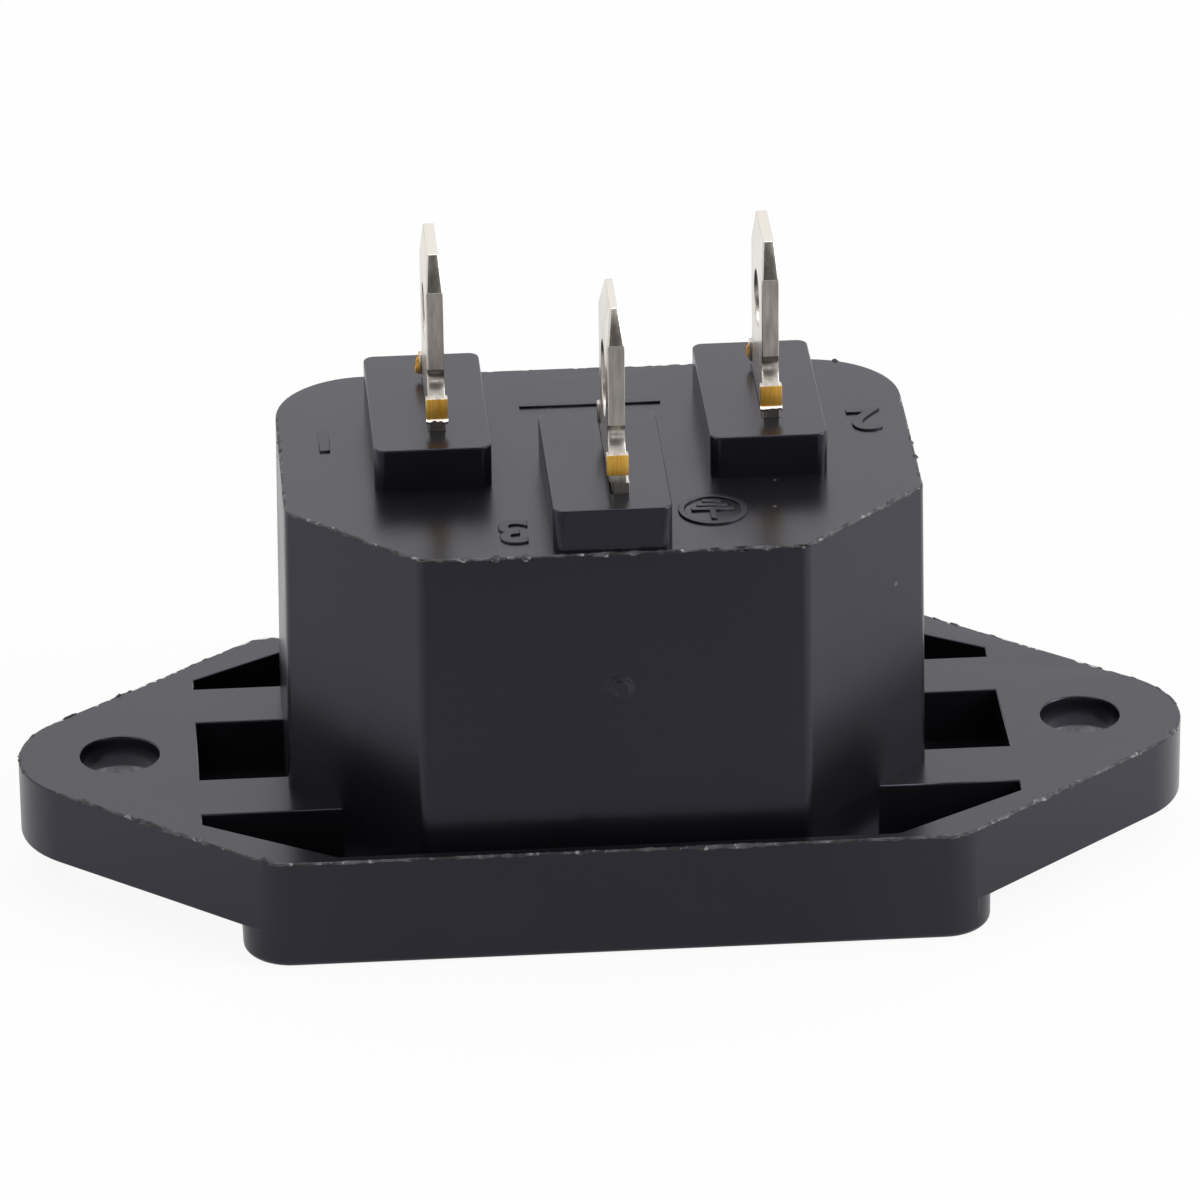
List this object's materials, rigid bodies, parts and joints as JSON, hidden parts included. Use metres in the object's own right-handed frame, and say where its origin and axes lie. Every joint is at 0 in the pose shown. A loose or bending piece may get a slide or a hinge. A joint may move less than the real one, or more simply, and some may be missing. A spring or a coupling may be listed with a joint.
{
  "type": "panel mount power socket",
  "caption": "Screw-mounted AC power inlet: keyed plug cavity behind a front collar, slotted flange ears and pins that end in flat rear tabs.",
  "frame": {"origin": "midway between the two screw holes, on the rear face of the flange that seats on the panel", "axes": "+Z to the rear, where the tabs stand; +X along the line of the screw holes, from the line terminal to the neutral terminal; -Y toward the chamfered earth side"},
  "size_m": [0.0484, 0.021, 0.0266],
  "materials": {
    "housing_plastic": "moulded black thermoplastic, fine matt texture",
    "terminal_metal": "nickel-plated brass sheet, bare brass where the carrier strip was cut off"
  },
  "bodies": {
    "root": {"housing": "housing_plastic", "line_terminal": "terminal_metal", "neutral_terminal": "terminal_metal", "earth_terminal": "terminal_metal"}
  },
  "joints": []
}
